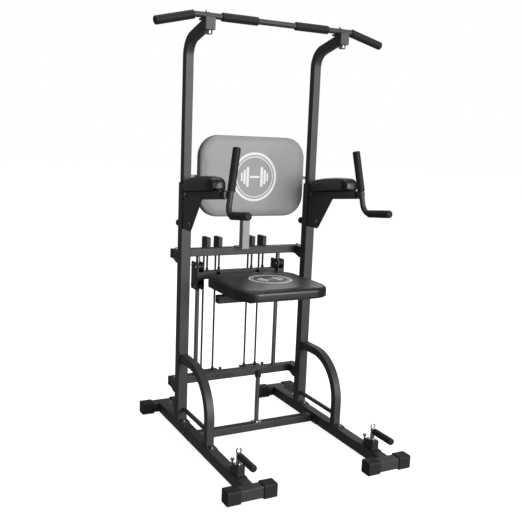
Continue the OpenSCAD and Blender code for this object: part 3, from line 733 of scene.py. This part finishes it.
    def _seams(self, pad: bpy.types.Object) -> None:
        """Sews a welt round the side band at each seam's height.

        Args:
            pad: the pad, still on its own axes.
        """
        tree = BVHTree.FromPolygons([v.co for v in pad.data.vertices],
                                    [p.vertices for p in pad.data.polygons])
        straight_x, straight_y = self.size[0] / 2 - self.corner, self.size[1] / 2 - self.corner
        for index, level in enumerate(self.seams):
            height = level - self.size[2] / 2
            points = []
            for sx, sy, dx, dy in self._outline(self.seam_points):
                core = Vector((sx * straight_x, sy * straight_y, height))
                ray = Vector((dx, dy, 0.0))
                hit = tree.ray_cast(core + ray * self.reach, -ray)[0]
                points.append(hit if hit else core + ray * self.corner)
            tube = ring_of_points(points, self.welt)
            tube.data.transform(self.place())
            finish_piece(tube, f"{self.node}_seam_{index + 1}", self.finish, self.body)


@dataclass
class Print:
    """A plain printed mark, a dumbbell inside a ring, that lies on a cushion.

    Attributes:
        cushion: the pad that it is printed on.
        radius: outer radius of the ring.
        middle: place of its centre on the pad, from the pad's middle.
        rings: outer and inner radius of each ring, as shares of the radius.
        bar: length and thickness of the dumbbell's bar, as shares of the radius.
        plates: place, height and width of each plate on one side, as shares of the radius.
        cut: how far a panel's corners are drawn in, as a share of its width.
        clearance: how far the ink's middle lies above the vinyl.
        ink: thickness of the ink.
    """

    cushion: Cushion
    radius: float
    middle: tuple[float, float] = (0.0, 0.0)
    rings: tuple[tuple[float, float], ...] = ((1.0, 0.90), (0.84, 0.80))
    bar: tuple[float, float] = (0.44, 0.085)
    plates: tuple[Vec3, ...] = ((0.32, 0.80, 0.115), (0.46, 0.58, 0.10), (0.585, 0.34, 0.075))
    cut: float = 0.06
    clearance: float = 0.0005
    ink: float = 0.0003

    def build(self) -> None:
        """Cuts the mark's shapes, lays them on the pad and thickens them to ink."""
        pieces = [self._ring(self.radius * outer, self.radius * inner) for outer, inner in self.rings]
        pieces.append(self._panel(self.radius * self.bar[0], self.radius * self.bar[1], 0.0))
        for side in (-1, 1):
            for at, tall, wide in self.plates:
                pieces.append(self._panel(self.radius * wide, self.radius * tall, side * self.radius * at))
        mark = join(pieces)
        mark.data.transform(self.cushion.place() @ Matrix.Translation((*self.middle, self.cushion.size[2])))
        lies_flat = self.cushion.turn == 0.0
        apply_modifier(mark, "SHRINKWRAP", target=self.cushion.cover, wrap_method="PROJECT",
                       use_project_z=lies_flat, use_project_y=not lies_flat, use_negative_direction=True,
                       use_positive_direction=True, offset=self.clearance)
        apply_modifier(mark, "SOLIDIFY", thickness=self.ink, offset=0.0)
        finish_piece(mark, self.cushion.node + "_mark", INK, self.cushion.body)

    def _ring(self, outer: float, inner: float) -> bpy.types.Object:
        """Makes a flat ring.

        Args:
            outer: its outer radius.
            inner: its inner radius.

        Returns:
            The ring.
        """
        deselect()
        bpy.ops.mesh.primitive_circle_add(vertices=96, radius=outer, fill_type="NGON")
        ring = bpy.context.object
        bpy.ops.object.mode_set(mode="EDIT")
        bpy.ops.mesh.select_all(action="SELECT")
        bpy.ops.mesh.inset(thickness=outer - inner)
        bpy.ops.mesh.delete(type="FACE")
        bpy.ops.object.mode_set(mode="OBJECT")
        return ring

    def _panel(self, wide: float, tall: float, at: float) -> bpy.types.Object:
        """Makes a flat panel with its corners drawn in, divided finely enough to follow the pad.

        Args:
            wide: its width.
            tall: its height.
            at: place of its middle along the dumbbell.

        Returns:
            The panel.
        """
        deselect()
        bpy.ops.mesh.primitive_grid_add(x_subdivisions=8, y_subdivisions=16, size=1.0,
                                        location=(at, 0.0, 0.0))
        panel = bpy.context.object
        panel.scale = (wide, tall, 1.0)
        bake_transform(panel)
        cut = wide * self.cut
        for vertex in panel.data.vertices:
            dx, dy = (vertex.co.x - at) / (wide / 2), vertex.co.y / (tall / 2)
            if min(abs(dx), abs(dy)) > 0.99:
                vertex.co.x -= math.copysign(cut, dx)
                vertex.co.y -= math.copysign(cut, dy)
        return panel


@dataclass
class Cords:
    """The elastic cords' hardware and the stretches that lengthen.

    Attributes:
        places: distance of each cord from the middle.
        ahead: distance of the front stretches behind the base's middle.
        top: height where a front stretch leaves its pulley.
        foot: height where it is tied to the carriage.
        radius: radius of a cord.
        rings: number of rings that a stretch is divided by, so that it can lengthen.
        anchor: place of the anchored ends behind the base's middle, and the height of their knots.
        lift: how far a carriage knot starts above the end of its stretch.
        knot_turns: number of turns in a knot.
        knot_cord: radius of the cord that the knots are whipped with.
        knot_room: gap from a cord's side to the middle of its knot's cord.
        knot_pitch: height from one turn to the next.
    """

    places: tuple[float, ...] = (-0.158, -0.093, 0.093, 0.158)
    ahead: float = 0.395
    top: float = 0.902
    foot: float = 0.767
    radius: float = 0.005
    rings: int = 30
    anchor: tuple[float, float] = (0.439, 0.229)
    lift: float = 0.004
    knot_turns: int = 3
    knot_cord: float = 0.0018
    knot_room: float = 0.0012
    knot_pitch: float = 0.0032

    def build(self) -> None:
        """Makes the front stretches, their knots and the knots at the anchors."""
        self._stretches()
        self._knots("carriage_cord_knots", self.ahead, self.foot + self.lift, "carriage")
        self._knots("anchor_cord_knots", *self.anchor, "frame")

    def _stretches(self) -> None:
        """Makes the four front stretches as one piece, each cut into rings along its length and carried by no
        body.
        """
        tubes = []
        for x in self.places:
            deselect()
            bpy.ops.mesh.primitive_cylinder_add(vertices=24, radius=self.radius, depth=self.top - self.foot,
                                                location=(x, self.ahead, (self.top + self.foot) / 2))
            tube = bpy.context.object
            bake_transform(tube)
            heights = [v.co.z for v in tube.data.vertices]
            select_parts(tube, "EDGE", lambda edge: heights[edge.vertices[0]] != heights[edge.vertices[1]])
            bpy.ops.mesh.subdivide_edgering(number_cuts=self.rings, interpolation="LINEAR")
            bpy.ops.object.mode_set(mode="OBJECT")
            tubes.append(tube)
        cords = join(tubes)
        bpy.ops.object.shade_smooth_by_angle(angle=math.radians(50))
        finish_piece(cords, "cord_stretches", BRAID, "")
        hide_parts("cord_front_runs")
        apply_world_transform(cords)

    def _knots(self, name: str, ahead: float, height: float, body: str) -> None:
        """Makes a whipped collar round each cord where it ends.

        Args:
            name: the piece's name.
            ahead: place of the cords behind the base's middle.
            height: height of the collars.
            body: the body that carries them.
        """
        turns = []
        for x in self.places:
            for k in range(self.knot_turns):
                deselect()
                bpy.ops.mesh.primitive_torus_add(major_radius=self.radius + self.knot_room,
                                                 minor_radius=self.knot_cord,
                                                 major_segments=28, minor_segments=10,
                                                 location=(x, ahead, height + k * self.knot_pitch))
                turn = bpy.context.object
                bake_transform(turn)
                turns.append(turn)
        knots = join(turns)
        bpy.ops.object.shade_smooth()
        finish_piece(knots, name, BRAID, body)


@dataclass
class TubePlugs:
    """Dished plastic plugs in the open ends of the level tubes.

    Attributes:
        crossbar_end: half of the crossbars' length.
        crossbar_y: place of the two crossbars behind the base's middle.
        crossbar_heights: heights of their axes.
        crossbar_face: depth and height of their tube.
        seat_end: half of the length of the seat's cross tube.
        seat_y: its place.
        seat_height: height of its axis.
        seat_face: depth and height of its tube.
        thickness: thickness of a plug's rim.
        gap: gap from the tube's end to the middle of the rim.
        margin: how much smaller than the tube a plug is.
        rim: width of its rim, and of the step round its middle.
        dish: how far its face lies behind its rim.
        boss: how far its middle stands out of its face.
        edge: width of its chamfers.
    """

    crossbar_end: float = 0.360
    crossbar_y: float = 0.354
    crossbar_heights: tuple[float, float] = (0.870, 0.221)
    crossbar_face: tuple[float, float] = (0.050, 0.038)
    seat_end: float = 0.230
    seat_y: float = 0.094
    seat_height: float = 0.686
    seat_face: tuple[float, float] = (0.038, 0.038)
    thickness: float = 0.003
    gap: float = 0.0016
    margin: float = 0.001
    rim: float = 0.004
    dish: float = 0.0012
    boss: float = 0.0008
    edge: float = 0.0007

    def build(self) -> None:
        """Makes the plugs of the crossbars and of the seat's cross tube."""
        bars = [self._plug(side, (self.crossbar_end, self.crossbar_y, height), self.crossbar_face)
                for side in (-1, 1) for height in self.crossbar_heights]
        finish_piece(join(bars), "crossbar_plugs", NYLON, "frame")
        seat = [self._plug(side, (self.seat_end, self.seat_y, self.seat_height), self.seat_face)
                for side in (-1, 1)]
        finish_piece(join(seat), "seat_tube_plugs", NYLON, "carriage")

    def _plug(self, side: int, end: Vec3, face: tuple[float, float]) -> bpy.types.Object:
        """Makes one plug: a rim, a dished face and a raised middle.

        Args:
            side: -1 for a left end, 1 for a right one.
            end: middle of the tube's right end.
            face: depth and height of the tube.

        Returns:
            The plug.
        """
        plug = block((self.thickness, face[0] - self.margin, face[1] - self.margin),
                     (side * end[0] + side * self.gap, end[1], end[2]))
        select_parts(plug, "FACE", lambda polygon: polygon.normal.x * side > 0.9)
        for step in (-self.dish, self.boss):
            bpy.ops.mesh.inset(thickness=self.rim)
            bpy.ops.transform.translate(value=(side * step, 0.0, 0.0))
        bpy.ops.object.mode_set(mode="OBJECT")
        apply_modifier(plug, "BEVEL", width=self.edge, segments=2, limit_method="ANGLE")
        return plug


def main() -> None:
    """Builds the scene in order."""
    logging.basicConfig(level=logging.INFO, format="%(message)s")
    Studio().build()
    SteelWork().build()
    seat = Cushion("seat_pad", "carriage", size=(0.472, 0.454, 0.056), turn=0.0, corner=0.098, edge=0.010,
                   puff=0.005, crown=0.006, seams=(0.047, 0.005), finish=BLACK_VINYL, slot=Slot.black_vinyl)
    seat.build()
    for side in ("left", "right"):
        Cushion(f"arm_pad_{side}", "frame", size=(0.092, 0.320, 0.066), turn=-ARM_SLOPE, corner=0.032,
                edge=0.024, puff=0.005, crown=0.010, seams=(0.010,), finish=BLACK_VINYL,
                slot=Slot.black_vinyl).build()
    rest = Cushion("backrest_pad", "frame", size=(0.566, 0.387, 0.050), turn=math.radians(90), corner=0.105,
                   edge=0.014, puff=0.005, crown=0.004, seams=(0.006,), finish=GREY_VINYL,
                   slot=Slot.grey_vinyl)
    rest.build()
    Print(seat, radius=0.105, middle=(0.02, 0.0)).build()
    Print(rest, radius=0.118).build()
    Cords().build()
    TubePlugs().build()


if __name__ == "__main__":
    main()
